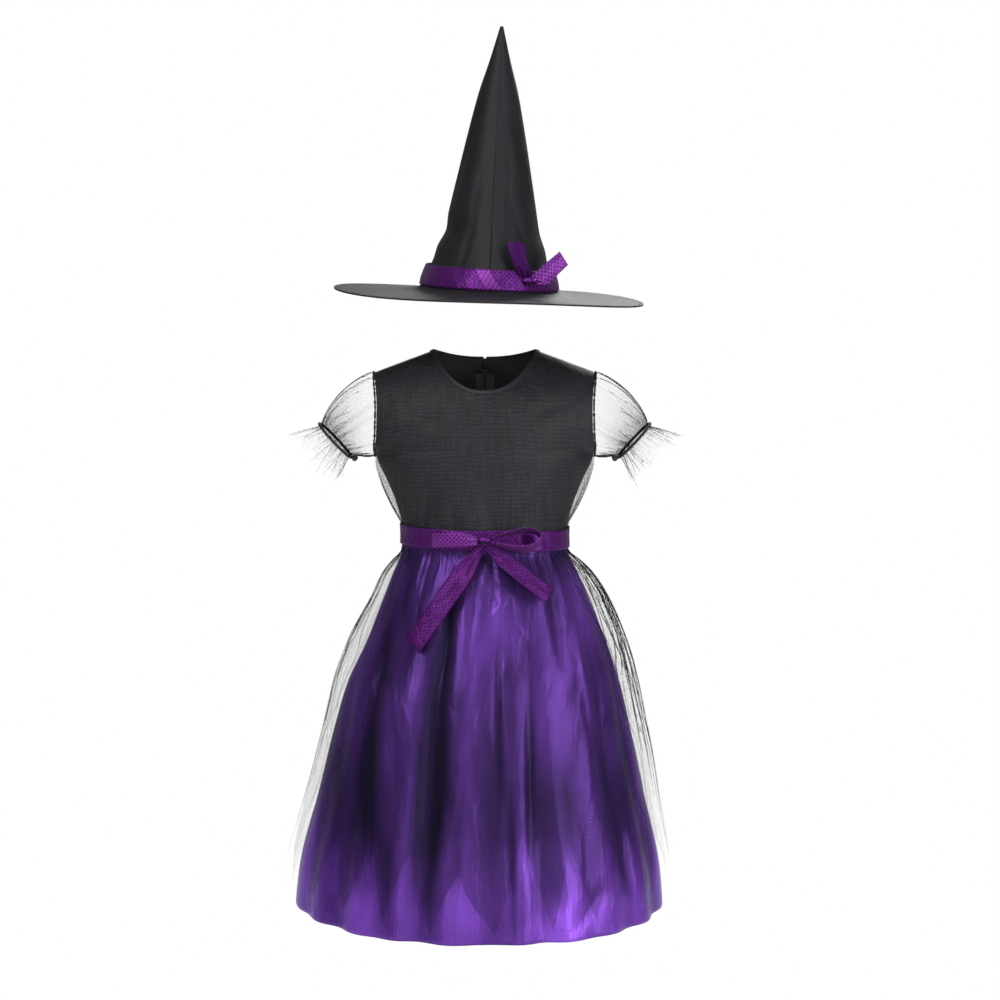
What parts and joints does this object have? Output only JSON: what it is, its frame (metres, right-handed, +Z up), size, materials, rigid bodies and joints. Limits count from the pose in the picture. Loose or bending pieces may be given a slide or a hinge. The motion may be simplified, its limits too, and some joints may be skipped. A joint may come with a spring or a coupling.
{
  "type": "witch costume",
  "caption": "Witch costume for a child: black bodice, net puff sleeves, purple satin skirt under a pointed net overskirt, ribbon belt with a bow, and a tall pointed hat.",
  "frame": {"origin": "middle of the shoulder line, where the wearer's shoulders hold the dress", "axes": "-Y is the costume's front, +X is the wearer's left, +Z is up"},
  "size_m": [0.4383, 0.3642, 0.9827],
  "materials": {
    "black_satin": "thin black satin with a dull sheen",
    "black_net": "fine even black tulle net",
    "purple_satin": "glossy purple polyester satin with soft lines of light",
    "dotted_ribbon": "satin ribbon with small dark dots",
    "elastic_cord": "black covered elastic",
    "zip_tape": "woven black zip tape",
    "zip_metal": "black lacquered metal"
  },
  "bodies": {
    "costume": {"hat_crown_left": "black_satin", "hat_crown_right": "black_satin", "hat_brim": "black_satin", "hat_band": "dotted_ribbon", "hat_knot": "dotted_ribbon", "hat_tail_up": "dotted_ribbon", "hat_tail_side": "dotted_ribbon", "bodice_front": "black_satin", "net_bodice_front": "black_net", "bodice_back_left": "black_satin", "net_bodice_back_left": "black_net", "bodice_back_right": "black_satin", "net_bodice_back_right": "black_net", "neck_binding_front": "black_satin", "neck_binding_back_left": "black_satin", "neck_binding_back_right": "black_satin", "zip_tape_left": "zip_tape", "zip_tape_right": "zip_tape", "zip_slider": "zip_metal", "skirt_front": "purple_satin", "skirt_back": "purple_satin", "net_skirt_front": "black_net", "net_skirt_back": "black_net", "sleeve_left": "black_net", "sleeve_cord_left": "elastic_cord", "sleeve_right": "black_net", "sleeve_cord_right": "elastic_cord", "belt_front": "dotted_ribbon", "belt_back": "dotted_ribbon", "bow_knot": "dotted_ribbon", "bow_loop_right": "dotted_ribbon", "bow_loop_left": "dotted_ribbon", "bow_tail_right": "dotted_ribbon", "bow_tail_left": "dotted_ribbon"},
    "pull_tab": {"zip_pull": "zip_metal"}
  },
  "joints": [
    {"name": "pull_tab_hinge", "type": "hinge", "parent": "costume", "child": "pull_tab", "pos_m": [0, 0.05548, -0.01151], "axis": [1, 0, 0], "range_deg": [0, 110]}
  ]
}
